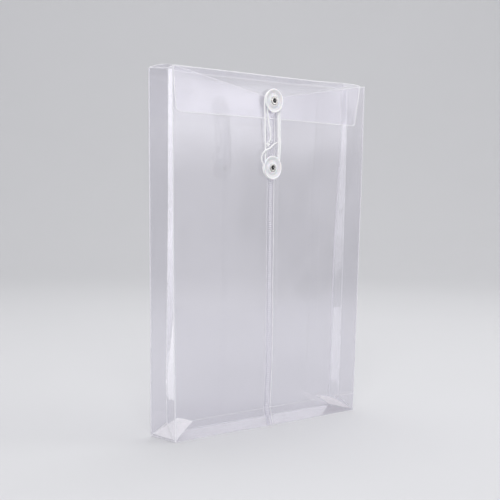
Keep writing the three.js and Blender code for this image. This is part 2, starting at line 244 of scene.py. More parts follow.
def beside(hub, *places):
    """Points beside a hub, from places across, up and out from the film."""
    face_y, hub_z = hub
    return [Vector((BUTTON_X + x * MM, face_y - out * MM, hub_z + z * MM)) for x, z, out in places]


def turn_round(hub, from_radius, to_radius, from_degrees, to_degrees):
    """Points of a turn round a hub, at half its height."""
    count = round((from_degrees - to_degrees) / TURN_STEP)
    places = []
    for i in range(count + 1):
        share = i / count
        angle = math.radians(from_degrees + (to_degrees - from_degrees) * share)
        radius = from_radius + (to_radius - from_radius) * share
        places.append((radius * math.cos(angle), radius * math.sin(angle), HUB_H / MM / 2))
    return beside(hub, *places)


UPPER = (FLAP_Y, UPPER_Z)
LOWER = (FRONT_Y, LOWER_Z)
string_points = [
    *turn_round(UPPER, 5.6, 6.6, 172, 0),
    *beside(UPPER, (6.8, -12, 1.5), (7.1, -24, 1.7)),
    *beside(LOWER, (7.4, 31, 2.8), (7.7, 24, 3.4), (7.9, 17, 2.9), (8.1, 8, 1.9)),
    *turn_round(LOWER, 8.2, 7.2, 0, -180),
    *beside(LOWER, (-7.5, 12, 1.7), (-8.3, 28, 2), (-9.2, 44, 2.5)),
    *turn_round(UPPER, 10.1, 8.8, 180, 0),
    *beside(UPPER, (9, -12, 1.5), (9.3, -24, 1.7)),
    *beside(LOWER, (9.6, 31, 2.8), (9.8, 24, 3.4), (10, 17, 2.9), (10.2, 8, 1.9)),
    *turn_round(LOWER, 10.3, 10.1, 0, -196),
    *beside(LOWER, (-11.9, 6.2, 1.6), (-12.6, 10, 2.2), (-11.4, 14.2, 3.6), (-8.2, 16.6, 4.2)),
    *beside(LOWER, (-4, 17.9, 3.6), (0.5, 20.6, 2.2), (4.2, 22.6, 1.3), (7.4, 23.9, 1.1), (9.8, 24.6, 1.1)),
]
tail_points = [
    *beside(UPPER, (-5.8, -1.1, 1.5), (-6, -4, 1.5), (-6.4, -8, 1.5), (-6.3, -12.5, 1.5), (-4.8, -20, 1.4)),
    *beside(LOWER, (-2.9, 36, 2.6), (-1.8, 30, 2.4), (-2.5, 26, 2.3), (-3.8, 23.6, 2.2)),
]


def smooth_route(points, spacing):
    """Points at even spacing along a centripetal Catmull-Rom curve through the given points."""
    first = points[0] * 2 - points[1]
    last = points[-1] * 2 - points[-2]
    held = [first, *points, last]
    fine = []
    for i in range(1, len(held) - 2):
        p0, p1, p2, p3 = held[i - 1:i + 3]
        t0 = math.sqrt((p1 - p0).length)
        t1 = math.sqrt((p2 - p1).length)
        t2 = math.sqrt((p3 - p2).length)
        m1 = ((p1 - p0) / t0 - (p2 - p0) / (t0 + t1) + (p2 - p1) / t1) * t1
        m2 = ((p2 - p1) / t1 - (p3 - p1) / (t1 + t2) + (p3 - p2) / t2) * t1
        for k in range(SPAN_STEPS):
            s = k / SPAN_STEPS
            fine.append(
                p1 * (2 * s**3 - 3 * s**2 + 1) + m1 * (s**3 - 2 * s**2 + s)
                + p2 * (3 * s**2 - 2 * s**3) + m2 * (s**3 - s**2)
            )
    fine.append(points[-1])
    lengths = [0]
    for a, b in zip(fine, fine[1:]):
        lengths.append(lengths[-1] + (b - a).length)
    count = round(lengths[-1] / spacing)
    route = []
    at = 0
    for i in range(count + 1):
        wanted = lengths[-1] * i / count
        while at < len(fine) - 2 and lengths[at + 1] < wanted:
            at += 1
        share = (wanted - lengths[at]) / (lengths[at + 1] - lengths[at])
        route.append(fine[at].lerp(fine[at + 1], share))
    return route, lengths[-1]


string_route, string_length = smooth_route(string_points, ROUTE_STEP)
tail_route, tail_length = smooth_route(tail_points, ROUTE_STEP)
print("string", round(string_length, 4), "m, tail", round(tail_length, 4), "m")

# %% [markdown]
# The real string is a round braid. A bevelled curve would be a plain tube, and a bump
# pattern would stay in the material. So a tube is swept along the route, and two sets of
# slanting ridges that cross are pressed into it by moving each point in or out.

# %% Tube with a braided skin
BRAID_SIDES = 14
BRAID_PITCH = 2.6 * MM
BRAID_DEPTH = 0.07 * MM


def braided_tube(name, route):
    verts = []
    faces = []
    side = Vector((0, 1, 0))
    for i, point in enumerate(route):
        ahead = route[min(i + 1, len(route) - 1)] - route[max(i - 1, 0)]
        along = ahead.normalized()
        side = (side - along * side.dot(along)).normalized()
        other = along.cross(side)
        way = i * (route[1] - route[0]).length / BRAID_PITCH * 2 * math.pi
        for k in range(BRAID_SIDES):
            angle = 2 * math.pi * k / BRAID_SIDES
            lift = max(math.sin(2 * angle + way), math.sin(2 * angle - way))
            radius = STRING_D / 2 - BRAID_DEPTH * (1 - lift) / 2
            verts.append(point + side * radius * math.cos(angle) + other * radius * math.sin(angle))
    for i in range(len(route) - 1):
        for k in range(BRAID_SIDES):
            a = i * BRAID_SIDES + k
            b = i * BRAID_SIDES + (k + 1) % BRAID_SIDES
            faces.append((a, b, b + BRAID_SIDES, a + BRAID_SIDES))
    faces.append(tuple(reversed(range(BRAID_SIDES))))
    faces.append(tuple(range(len(verts) - BRAID_SIDES, len(verts))))
    mesh = bpy.data.meshes.new(name)
    mesh.from_pydata(verts, [], faces)
    piece = bpy.data.objects.new(name, mesh)
    bpy.context.scene.collection.objects.link(piece)
    smooth_by_angle(piece, 60)
    return piece


string_piece = braided_tube("wound_string", string_route)
tail_piece = braided_tube("tail_string", tail_route)
print("string faces", len(string_piece.data.polygons), "tail faces", len(tail_piece.data.polygons))

# %% [markdown]
# The tail ends in a small overhand knot. A trefoil curve, swept by the same tube and
# squeezed to the box of the knot's solid, reads as one from every side. A few of its
# steps are left out, where the ends part.

# %% Knot
KNOT_STEPS = 64
KNOT_STEPS_USED = 60
KNOT_REACH = (0.22, 0.5, 0.3)
KNOT_FILL = 1.1
knot_low, knot_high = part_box("string_knot")
KNOT_CENTRE = (Vector(knot_low) + Vector(knot_high)) / 2
KNOT_R = (knot_high[0] - knot_low[0]) / 2

knot_route = []
for i in range(KNOT_STEPS_USED):
    t = 2 * math.pi * i / KNOT_STEPS
    across = (math.sin(t) + 2 * math.sin(2 * t)) * KNOT_REACH[0]
    out = -math.sin(3 * t) * KNOT_REACH[1]
    upwards = (math.cos(t) - 2 * math.cos(2 * t)) * KNOT_REACH[2]
    knot_route.append(KNOT_CENTRE + Vector((across, out, upwards)) * KNOT_R * KNOT_FILL)
knot_piece = braided_tube("tail_knot", knot_route)
print("knot faces", len(knot_piece.data.polygons))

# %% [markdown]
# String, tail and knot ride on the flap.

for piece in (string_piece, tail_piece, knot_piece):
    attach(piece, "flap")
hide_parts("string")
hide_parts("string_tail")
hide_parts("string_knot")
print("cords declared:", string_piece.name, "and", tail_piece.name)

# %% [markdown]
# ## Finishes of the film
# Polypropylene film is clear with a faint violet-grey tint. It passes most light
# straight on, mirrors a little of the room, more so at a glancing angle, and has a trace
# of haze. A glass shader would bend the light, which film this thin doesn't do, so a
# Transparent shader is mixed with a glossy one by angle. Light meets two surfaces per
# sheet, so three sheets look denser than two. Creases and cut edges are stretched or
# sheared until they scatter light: they are whiter, and glow when lit from behind. The
# attribute "wear" whitens clear film as well.

# %% Helpers for materials


def new_material(name):
    material = bpy.data.materials.new(name)
    material.use_nodes = True
    material.node_tree.nodes.clear()
    return material, material.node_tree


def add(tree, kind, sockets=None, **settings):
    """Adds a shader node. A socket takes a value, an output, or a node's first output."""
    made = tree.nodes.new("ShaderNode" + kind)
    for key, value in settings.items():
        setattr(made, key, value)
    for key, value in (sockets or {}).items():
        if isinstance(value, bpy.types.Node):
            value = value.outputs[0]
        if isinstance(value, bpy.types.NodeSocket):
            tree.links.new(value, made.inputs[key])
        else:
            made.inputs[key].default_value = value
    return made


def object_noise(tree, scale, detail=3, stretch=(1, 1, 1)):
    place = add(tree, "TexCoord").outputs["Object"]
    stretched = add(tree, "Mapping", {"Vector": place, "Scale": stretch})
    return add(tree, "TexNoise", {"Vector": stretched, "Scale": scale, "Detail": detail})


def ranged(tree, value, low, high, from_low=0.3, from_high=0.7):
    """Turns the span in which noise mostly lies into a span of its own."""
    return add(tree, "MapRange", {
        "Value": value, "From Min": from_low, "From Max": from_high, "To Min": low, "To Max": high,
    })


# %% Film materials
FILM_TINT = (0.965, 0.962, 0.974)
FILM_IOR = 1.49
CREASE_HAZE = 0.5
GLOSS_GONE = 0.4
GLANCE_POWER = 5
RIPPLE_LIFT = 0.3 * MM


def film_material(name, body, haze, rough, cloud_scale, bump, gloss=0, through=0):
    """Film that lets light through and mirrors more at a glancing angle."""
    material, tree = new_material(name)
    cloud = object_noise(tree, cloud_scale)
    wear = add(tree, "Attribute", attribute_name="wear").outputs["Fac"]
    ripple = add(tree, "Bump", {
        "Strength": bump, "Distance": RIPPLE_LIFT, "Height": object_noise(tree, 28, 1, (1, 1, 0.6)),
    })
    scattered = add(tree, "BsdfPrincipled", {
        "Base Color": (*body, 1), "IOR": FILM_IOR, "Normal": ripple,
        "Roughness": ranged(tree, cloud, rough * 0.8, rough * 1.3),
        "Metallic": ranged(tree, wear, gloss, 0, 0, GLOSS_GONE),
    })
    if through > 0:
        glow = add(tree, "BsdfTranslucent", {"Color": (*body, 1)})
        scattered = add(tree, "MixShader", {"Fac": through, 1: scattered, 2: glow})
    facing = add(tree, "LayerWeight", {"Blend": 0.5}).outputs["Facing"]
    glance = add(tree, "Math", {0: facing, 1: GLANCE_POWER}, operation="POWER")
    worn = add(
        tree, "Math", {0: wear, 1: CREASE_HAZE, 2: ranged(tree, cloud, *haze)}, operation="MULTIPLY_ADD",
    )
    total = add(tree, "Math", {0: glance, 1: worn}, operation="ADD", use_clamp=True)
    clear = add(tree, "BsdfTransparent", {"Color": (*FILM_TINT, 1)})
    add(tree, "OutputMaterial", {"Surface": add(tree, "MixShader", {"Fac": total, 1: clear, 2: scattered})})
    return material


clear_film = film_material(
    "clear_film", (0.93, 0.92, 0.96), haze=(0.065, 0.085), rough=0.06, cloud_scale=14, bump=0.1, gloss=0.85,
)
creased_film = film_material(
    "creased_film", (0.97, 0.965, 0.985), haze=(0.55, 0.9), rough=0.25, cloud_scale=220, bump=0.4,
    through=0.4,
)
cut_edge = film_material(
    "cut_edge", (0.985, 0.98, 0.99), haze=(0.7, 0.95), rough=0.2, cloud_scale=160, bump=0.2,
    through=0.25,
)
hazy_film = film_material(
    "hazy_film", (0.99, 0.98, 0.98), haze=(0.85, 1), rough=0.3, cloud_scale=60, bump=0.5,
    through=0.15,
)
backlit_film = film_material(
    "backlit_hazy_film", (0.99, 0.975, 0.975), haze=(0.75, 0.95), rough=0.3, cloud_scale=60,
    bump=0.5, through=0.85,
)
weld_film = film_material(
    "welded_film", (0.98, 0.975, 0.99), haze=(0.85, 1), rough=0.3, cloud_scale=300, bump=0.5,
)
FILM_SET = (clear_film, creased_film, cut_edge)
PLAIN, CREASED, CUT = range(3)
bpy.context.scene.cycles.transparent_max_bounces = 48
print("film materials", [m.name for m in FILM_SET])

# %% [markdown]
# ## Film body
# The real bag is one die-cut sheet, creased and folded into a box whose front overlaps.
# A cloth simulation could fold a flat sheet, but this film is stiff and its panels stay
# plane. So it starts folded: a box without a lid, cut along every crease of the sheet.

# %% Box cut along its creases
THROAT_DEPTH = 20 * MM
THROAT_SHOULDER = 5 * MM
THROAT_ROUND = 16 * MM
SEAM_X = -4.2 * MM
SEAM_RIGHT = SEAM_X + 5 * MM
SEAM_LEFT = SEAM_X - 3.2 * MM
JOGGLE = 3 * MM
LAYER_STEP = 0.8 * MM
FOOT_LIP = 1.0 * MM


def block(name, low, high):
    let_go()
    low = Vector(low)
    high = Vector(high)
    bpy.ops.mesh.primitive_cube_add(size=1, location=(low + high) / 2)
    bpy.context.view_layer.objects.active.scale = high - low
    return newest(name)


def cut_plane(piece, point, normal, test):
    """Bisects the faces for which test is true."""
    act_on(piece, "faces", test, bpy.ops.mesh.bisect, plane_co=point, plane_no=normal)


def on_side(face):
    return abs(face.normal.x) > 0.7


body = block("film_body", (-HALF_W, FRONT_Y, 0), (HALF_W, HALF_D, RIM_Z))
act_on(body, "faces", lambda face: face.normal.z > 0.7, bpy.ops.mesh.delete, type="FACE")
cut_across(body, "z", [FOOT_LIP, FOOT_Z])
throat_stops = [SEAM_X + i * THROAT_ROUND / 4 for i in range(-4, 5)]
shoulder_x = HALF_W - THROAT_SHOULDER
cut_across(body, "x", sorted([
    -shoulder_x, shoulder_x, SEAM_LEFT, SEAM_RIGHT, SEAM_RIGHT + JOGGLE, *throat_stops,
]))
cut_plane(body, (0, 0, 0), (0, 1, 0), on_side)
for way in (-1, 1):
    cut_plane(
        body, (0, way * HALF_D, 0), (0, way, 1),
        lambda face: on_side(face) and face.calc_center_median().z < FOOT_Z,
    )
print("box cut along its creases:", len(body.data.polygons), "faces")

# %% [markdown]
# The front's upper edge is cut as a shallow V, which the flap covers. Each side has a
# crease up its middle that folds inwards, and two slanting ones that meet it above the
# base. The cuts are there, so it is enough to move the vertices that lie on them.

# %% Draw down the throat and press in the sides
FOLD_TOP = 6.5 * MM
FOLD_FOOT = 4 * MM
APEX_DROP = 3.5 * MM
TINY = 0.01 * MM


def throat_z(x):
    """Height of the front's upper edge, a V with a rounded bottom."""
    side = -1 if x < SEAM_X else 1
    slope = THROAT_DEPTH / (HALF_W - THROAT_SHOULDER - side * SEAM_X)
    away = abs(x - SEAM_X)
    low = RIM_Z - THROAT_DEPTH
    if away < THROAT_ROUND:
        rounded = slope * away * away / (2 * THROAT_ROUND)
        return low + rounded + slope * THROAT_ROUND / 2 * (away / THROAT_ROUND)
    return min(RIM_Z, low + slope * away)


for vert in body.data.vertices:
    at = vert.co
    if at.y < FRONT_Y + TINY and at.z > RIM_Z - TINY:
        at.z = throat_z(at.x)
    if abs(at.y) < TINY and abs(at.x) > HALF_W - TINY and at.z > FOOT_Z - TINY:
        share = (at.z - FOOT_Z) / (RIM_Z - FOOT_Z)
        at.x -= math.copysign(FOLD_FOOT + (FOLD_TOP - FOLD_FOOT) * share, at.x)
        if share < TINY:
            at.z -= APEX_DROP
print("throat down to", round(throat_z(SEAM_X), 4), "m")

# %% [markdown]
# The front's two halves overlap and are welded, and the right half steps back behind
# the left one. Two loose sheets could be laid over each other, but the base wouldn't
# join them. So the sheet is split along the left half's edge, the freed edge is pushed
# back, and a strip is extruded from it to the left, behind the other half.

# %% Overlap at the seam


def in_step(a, b):
    """True for an edge in the ramp where the right half steps back."""
    low_x, high_x = sorted((a.x, b.x))
    return low_x > SEAM_RIGHT - TINY and high_x < SEAM_RIGHT + JOGGLE + TINY


def seam_split(edge):
    a, b = (vert.co for vert in edge.verts)
    upright = abs(a.x - SEAM_RIGHT) < TINY and abs(b.x - SEAM_RIGHT) < TINY
    lip = abs(a.z - FOOT_LIP) < TINY and abs(b.z - FOOT_LIP) < TINY
    front = max(a.y, b.y) < FRONT_Y + TINY
    return front and min(a.z, b.z) > FOOT_LIP - TINY and (upright or lip and in_step(a, b))


def freed(vert):
    at_seam = abs(vert.co.x - SEAM_RIGHT) < TINY and vert.co.y < FRONT_Y + TINY
    right_half = all(face.calc_center_median().x > SEAM_RIGHT for face in vert.link_faces)
    above_lip = all(face.calc_center_median().z > FOOT_LIP for face in vert.link_faces)
    return at_seam and right_half and above_lip


def stepped_edge(edge):
    return all(
        abs(vert.co.x - SEAM_RIGHT) < TINY and abs(vert.co.y - FRONT_Y - LAYER_STEP) < TINY
        for vert in edge.verts
    )


act_on(body, "edges", seam_split, bpy.ops.mesh.edge_split, type="EDGE")
count = act_on(body, "verts", freed, bpy.ops.transform.translate, value=(0, LAYER_STEP, 0))
edges = act_on(
    body, "edges", stepped_edge, bpy.ops.mesh.extrude_edges_move,
    TRANSFORM_OT_translate={"value": (SEAM_LEFT - SEAM_RIGHT, 0, 0)},
)
print("freed", count, "vertices, extruded", edges, "edges")

# %% [markdown]
# Every fold is a narrow band where the film is stretched and whitened. A painted line
# would stay flat, so the crease edges are bevelled, and the band gets a material of its
# own. The open edges get a narrow inset strip, which lights up as a cut edge does,
# because light runs inside the film and leaves there.

# %% Creases and cut edges
CREASE = 0.36 * MM
EDGE_BAND = 0.55 * MM
CREASE_ANGLE = math.radians(8)


def is_crease(edge):
    """True for the cross crease, and for any sharp edge but those of the step beside the seam."""
    if len(edge.link_faces) != 2:
        return False
    a, b = (vert.co for vert in edge.verts)
    front = max(a.y, b.y) < FRONT_Y + LAYER_STEP + TINY
    cross = front and abs(a.z - FOOT_Z) < TINY and abs(b.z - FOOT_Z) < TINY
    step = front and in_step(a, b) and min(a.z, b.z) > FOOT_LIP - TINY
    return cross or edge.calc_face_angle() > CREASE_ANGLE and not step


def edge_strips(piece, spared=lambda face: False, spared_material=CREASED):
    """Insets the open edges and gives the strips the cut edge's material, but for the spared ones."""
    edit(piece, True)
    bpy.ops.mesh.inset(
        thickness=EDGE_BAND, use_boundary=True, use_even_offset=True, use_select_inset=True,
    )
    mesh = bmesh.from_edit_mesh(piece.data)
    strips = [face for face in mesh.faces if face.select]
    for face in strips:
        face.material_index = spared_material if spared(face) else CUT
    stop_edit()
    return len(strips)


give(body, *FILM_SET)
count = act_on(
    body, "edges", is_crease, bpy.ops.mesh.bevel, offset=CREASE, offset_type="OFFSET", segments=3,
    affect="EDGES", material=CREASED, loop_slide=False,
)
for face in body.data.polygons:
    if face.material_index == CREASED and face.normal.y < -0.99:
        if abs(face.center.z - FOOT_Z) > CREASE / 3:
            face.material_index = PLAIN
strips = edge_strips(body, lambda face: face.calc_center_median().y > HALF_D - TINY, PLAIN)
print("bevelled", count, "crease edges, edge strips", strips)

# %% [markdown]
# Film never lies quite flat. The panels are cut into a finer grid, and each vertex moves
# a fraction of a millimetre along its panel's normal, by smooth noise that fades out at
# the creases, the seam and the buttons. The moved vertices bend the reflections, which
# tells film from glass. A bump could do it, but moved vertices also reach the exported
# mesh.

# %% Gentle waves
GRID = 9 * MM
WORN_STRIP = 1.5 * MM
WELD_W = 3.2 * MM
WELD_X = SEAM_X + 0.8 * MM
WELD_EDGE = 0.3 * MM
BACK_WAVE = 0.9 * MM
FRONT_WAVE = 1.0 * MM
SIDE_WAVE = 0.35 * MM

cut_across(body, "z", [WORN_STRIP, FOOT_Z + 2 * MM, *steps(FOOT_Z + 2 * MM, RIM_Z - 22 * MM, GRID)])
worn_x = HALF_W - WORN_STRIP
cut_across(body, "x", [-worn_x, worn_x, *steps(-worn_x, worn_x, GRID)])
for way in (-1, 1):
    for place in (WELD_W / 2 + WELD_EDGE, WELD_W / 2 - WELD_EDGE):
        cut_plane(body, (WELD_X + way * place, 0, 0), (1, 0, 0), lambda face: face.normal.y < -0.9)
for place in (WORN_STRIP, 6 * MM, 12 * MM, HALF_D - WORN_STRIP):
    for way in (-1, 1):
        cut_plane(body, (0, way * place, 0), (0, 1, 0), lambda face: abs(face.normal.y) < 0.7)
print("cut for the waves into", len(body.data.polygons), "faces")


def ease(value, start, end):
    """Rises smoothly from 0 at start to 1 at end, which are in millimetres."""
    share = max(0, min(1, (value / MM - start) / (end - start)))
    return share * share * (3 - 2 * share)


def wave(x, z, seed):
    """Noise of about -1 to 1, in long waves with shorter ones on them."""
    broad = noise.noise(Vector((x / 0.075, seed, z / 0.11)))
    fine = noise.noise(Vector((x / 0.028, seed + 7, z / 0.04)))
    return broad + 0.28 * fine


def foot_ripple(x, z):
    """The wavy band across the front above the foot, strongest 60 mm up."""
    return math.sin(x / 0.017 + 2.2 * math.sin(z / 0.03)) * math.exp(-((z - 0.06) / 0.03) ** 2)


def wave_panels(piece):
    for vert in piece.data.vertices:
        at = vert.co
        if abs(at.x) < HALF_W - CREASE * 2 and at.z > CREASE:
            calm = ease(HALF_W - abs(at.x), 0, 25) * ease(at.z, 0, 25)
            if at.y > HALF_D - TINY:
                at.y -= BACK_WAVE * calm * (wave(at.x, at.z, 3) + 0.4)
            elif at.y < FRONT_Y + TINY:
                calm *= ease(abs(at.x - BUTTON_X), 6, 36) * ease(abs(at.z - FOOT_Z), -4, 16)
                at.y += FRONT_WAVE * calm * (wave(at.x, at.z, 11) + 0.18 * foot_ripple(at.x, at.z) + 0.35)
        elif abs(at.y) < HALF_D - CREASE * 2 and at.z > FOOT_Z:
            calm = ease(HALF_D - abs(at.y), 0, 7) * ease(abs(at.y), 0, 6) * ease(at.z - FOOT_Z, 0, 25)
            at.x -= math.copysign(SIDE_WAVE, at.x) * calm * wave(at.y, at.z, 5)


# %% [markdown]
# An empty bag also sags as a whole: its sides stand out at the mouth and draw in at the
# foot, their folds open and close, the back leans to the right, and the seam leans over
# at the foot. A lattice could bend the box, but the photograph was measured at a few
# heights, and short tables say that best. Corner folds and weld are marked as worn.

# %% Settle the bag
# Millimetres up the bag, and how far a side stands out, or its fold is pressed in, or
# the seam leans to the right there
LEFT_SPREAD = ((0, -2.0), (18, -1.4), (170, 1.3), (335, 2.9))
RIGHT_SPREAD = ((0, -2.2), (18, -1.2), (155, 3.0), (196, 4.3), (237, 5.6), (335, 6.8))
LEFT_FOLD = ((0, 0), (14.5, -1.2), (54, 0), (125, 1.3), (215, 2.5), (335, 2.1))
RIGHT_FOLD = ((0, 0), (14.5, -1.2), (54, 0), (160, 0), (335, -2.8))
SEAM_LEAN = ((0, 1.0), (18, -2.2), (60, 0), (335, 0))
BACK_SKEW = Vector((5.1, -0.5, 0)) * MM
LEFT_RISE = 1.2 * MM
HEEL_OUT = 1.5 * MM
CORNER_OUT = 0.8
FOOT_BULGE = 1.6
WORN_WELD = 0.3


def read_table(table, height):
    for (low, low_value), (high, high_value) in zip(table, table[1:]):
        if height <= high * MM:
            break
    share = (height / MM - low) / (high - low)
    return (low_value + (high_value - low_value) * share) * MM


def spread(x, z):
    """How far a side of the soft bag stands out from the straight box at a height."""
    return read_table(LEFT_SPREAD if x < 0 else RIGHT_SPREAD, z) * x / HALF_W


def lean_seam(at):
    """The welded seam leans over a little where it crosses the foot."""
    near_seam = ease(abs(at.x - SEAM_X), 30, 10) * ease(at.y - FRONT_Y, 6, 1)
    at.x += read_table(SEAM_LEAN, at.z) * near_seam


def skew_back(at):
    """The back leans to the right at the mouth, where the bag is pinched a little."""
    to_back = (at.y + HALF_D) / (2 * HALF_D)
    at += BACK_SKEW * ease(at.z, 150, 335) * ease(at.x, 60, 117) * to_back
    at.z += LEFT_RISE * ease(at.z, 275, 335) * ease(-at.x, 60, 115) * to_back


def settle_body(piece):
    """A soft bag spreads at its mouth, and its lower front edge bows forward."""
    for vert in piece.data.vertices:
        at = vert.co
        near = (HALF_D - at.y) / (2 * HALF_D)
        corner = ease(at.x, 80, 117) * ease(at.z, 200, 330)
        bulge = ease(abs(at.x - 20 * MM), 80, 20) * ease(at.z, 16, 0)
        if abs(at.x) > HALF_W - 12 * MM:
            pressed = read_table(LEFT_FOLD if at.x < 0 else RIGHT_FOLD, at.z)
            at.x -= math.copysign(pressed * (1 - abs(at.y) / HALF_D), at.x)
        heel = ease(-at.x, 60, 115) * ease(at.z, 150, 0)
        at.x -= HEEL_OUT * heel * (1 - near)
        at.y -= near * MM * (CORNER_OUT * corner + FOOT_BULGE * bulge)
        at.x += spread(at.x, at.z)
        lean_seam(at)
        skew_back(at)


def mark_worn(piece):
    """Marks the corner folds, so that the film beside them is whitened as well."""
    marks = piece.data.attributes.new("wear", "FLOAT", "POINT")
    for vert in piece.data.vertices:
        at = vert.co
        at_fold = abs(at.y) > HALF_D - CREASE - TINY
        if at_fold and (abs(at.x) > HALF_W - CREASE - TINY or at.z < CREASE + TINY):
            marks.data[vert.index].value = 1
        elif at.y < FRONT_Y + TINY and abs(at.x - WELD_X) < WELD_W / 2:
            marks.data[vert.index].value = WORN_WELD


def thicken(piece, degrees, **more):
    """Gives a sheet the film's thickness, on its inner side, and a cut edge's rim."""
    apply_modifier(piece, "SOLIDIFY", thickness=FILM, offset=-1, material_offset_rim=CUT, **more)
    smooth_by_angle(piece, degrees)


mark_worn(body)
wave_panels(body)
settle_body(body)
thicken(body, 42, use_even_offset=True, use_quality_normals=True)
print("film body", len(body.data.polygons), "faces")

# %% [markdown]
# The lower button's rivet goes through the front. A cylinder, taken away with a Boolean,
# punches the hole as the real punch does, through both layers at once.

# %% Punched holes
HOLE_R = 2.7 * MM


def punch(piece, z):
    let_go()
    bpy.ops.mesh.primitive_cylinder_add(
        vertices=32, radius=HOLE_R, depth=8 * MM, location=(BUTTON_X, FRONT_Y, z),
        rotation=(math.pi / 2, 0, 0),
    )
    cutter = newest("punch")
    apply_modifier(piece, "BOOLEAN", object=cutter, operation="DIFFERENCE", solver="EXACT")
    bpy.data.objects.remove(cutter)


punch(body, LOWER_Z)
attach(body, "bag_body")
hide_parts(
    "back_panel", "bottom_panel", "front_panel_left", "front_panel_right",
    "front_foot_left", "front_foot_right", "left_gusset_back", "left_gusset_front",
    "left_gusset_foot", "right_gusset_back", "right_gusset_front", "right_gusset_foot",
)
print("punched film body", len(body.data.polygons), "faces")

# %% [markdown]
# ## Weld up the seam
# A toothed wheel presses the two layers together while they melt, and leaves a band of
# ribs, clear between them. A bump pattern would be lost in the exported mesh, so one rib
# is modelled and repeated with an Array modifier. The band then leans with the seam.

# %% Ribbed weld
WELD_PITCH = 2 * MM
RIB_SHARES = (0.25, 0.75)
RIB_SINK = 0.6
RIB_WAIST = 0.12
weld_low_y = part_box("seam_weld_lower")[0][1]
weld_high_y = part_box("seam_weld_lower")[1][1]


def weld_band(name, low_z, high_z):
    count = round((high_z - low_z) / WELD_PITCH)
    pitch = (high_z - low_z) / count
    band = block(
        name, (WELD_X - WELD_W / 2, weld_low_y, low_z),
        (WELD_X + WELD_W / 2, weld_high_y, low_z + pitch),
    )
    cut_across(band, "z", [low_z + share * pitch for share in RIB_SHARES])
    for vert in band.data.vertices:
        if abs(vert.co.z - low_z - pitch / 2) >= pitch * 0.25:
            vert.co.x += (WELD_X - vert.co.x) * RIB_WAIST
            if vert.co.y > weld_high_y - TINY:
                vert.co.y -= (weld_high_y - weld_low_y) * RIB_SINK
    act_on(band, "faces", lambda face: abs(face.normal.z) > 0.9, bpy.ops.mesh.delete, type="FACE")
    apply_modifier(
        band, "ARRAY", count=count, use_relative_offset=False, use_constant_offset=True,
        constant_offset_displace=(0, 0, pitch), use_merge_vertices=True, merge_threshold=TINY,
    )
    act_on(band, "edges", lambda edge: len(edge.link_faces) == 1, bpy.ops.mesh.fill_holes, sides=0)
    face_out(band)
    give(band, clear_film, weld_film)
    for face in band.data.polygons:
        share = (face.center.z - low_z) / pitch % 1
        on_rib = RIB_SHARES[0] < share < RIB_SHARES[1] and face.center.y < weld_high_y - TINY
        face.material_index = 1 if on_rib else 0
    for vert in band.data.vertices:
        lean_seam(vert.co)
    return band


for place in ("upper", "lower", "foot"):
    low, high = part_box("seam_weld_" + place)
    band = weld_band("weld_" + place, low[2], high[2])
    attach(band, "bag_body")
    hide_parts("seam_weld_" + place)
    print(band.name, len(band.data.polygons), "faces")

# %% [markdown]
# ## Flaps at the two ends of the base
# Behind each folded side, a small trapezoid of film springs up from the base, hazy from
# handling, and curls towards its free edge. It could be drawn point by point, but a
# plate that is cut into rows and shaped by each vertex's share of the way to the tip is
# easier to change. The right one stands against the light, so more glows through it. A
# strip beside the crease is cut into narrow rows.

# %% Dust flaps
FOLD_RUN = 4 * MM
FOLD_ROWS = (0.2, 0.4, 0.6, 0.8, 1)
TIP_SHARE = 23 / 34.7
END_SHORT = 0.94
END_CURL = 1.2 * MM
END_WAVE = 0.1 * MM
END_DROOP = 0.2
END_TWIST = 1.1


def plate(name, middle, width, length, *materials, turn=0):
    """A flat sheet, laid down or turned about the width."""
    let_go()
    bpy.ops.mesh.primitive_plane_add(size=1, location=middle, rotation=(turn, 0, 0))
    bpy.context.view_layer.objects.active.scale = (width, length, 1)
    piece = newest(name)
    give(piece, *materials)
    return piece


def dust_flap(side_name, side):
    low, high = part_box(side_name + "_dust_flap")
    hinge_x = low[0] if side < 0 else high[0]
    tip_x = high[0] if side < 0 else low[0]
    run = abs(tip_x - hinge_x)
    rise = high[2] - low[2] - FILM
    flap = plate(
        side_name + "_end_flap_film", ((hinge_x + tip_x) / 2, 0, low[2]), run, high[1] - low[1],
        hazy_film if side < 0 else backlit_film, creased_film, cut_edge,
    )
    edge_strips(flap)
    cut_across(flap, "x", steps(min(hinge_x, tip_x), max(hinge_x, tip_x), 2.5 * MM))
    cut_across(flap, "x", [hinge_x - side * share * FOLD_RUN for share in FOLD_ROWS])
    cut_across(flap, "y", steps(low[1], high[1], 4 * MM))
    for vert in flap.data.vertices:
        at = vert.co
        share = abs(at.x - hinge_x) / run
        at.y *= 1 + (TIP_SHARE - 1) * share
        edge = at.y / high[1]
        at.x = hinge_x + (at.x - hinge_x) * END_SHORT
        at.z = low[2] + FILM + rise * END_SHORT * share + END_CURL * share ** 0.4
        at.z += END_WAVE * share * noise.noise(Vector((at.x / 0.02, at.y / 0.015, side)))
        at.z -= MM * share * share * (END_DROOP * edge * edge + END_TWIST * max(0, edge))
        at.x += spread(at.x, 0)
    face_out(flap)
    if sum(face.normal.z for face in flap.data.polygons) < 0:
        flap.data.flip_normals()
    thicken(flap, 40)
    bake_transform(flap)
    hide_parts(side_name + "_dust_flap")
    return flap


for side_name, side in (("left", -1), ("right", 1)):
    piece = dust_flap(side_name, side)
    print(piece.name, len(piece.data.polygons), "faces")
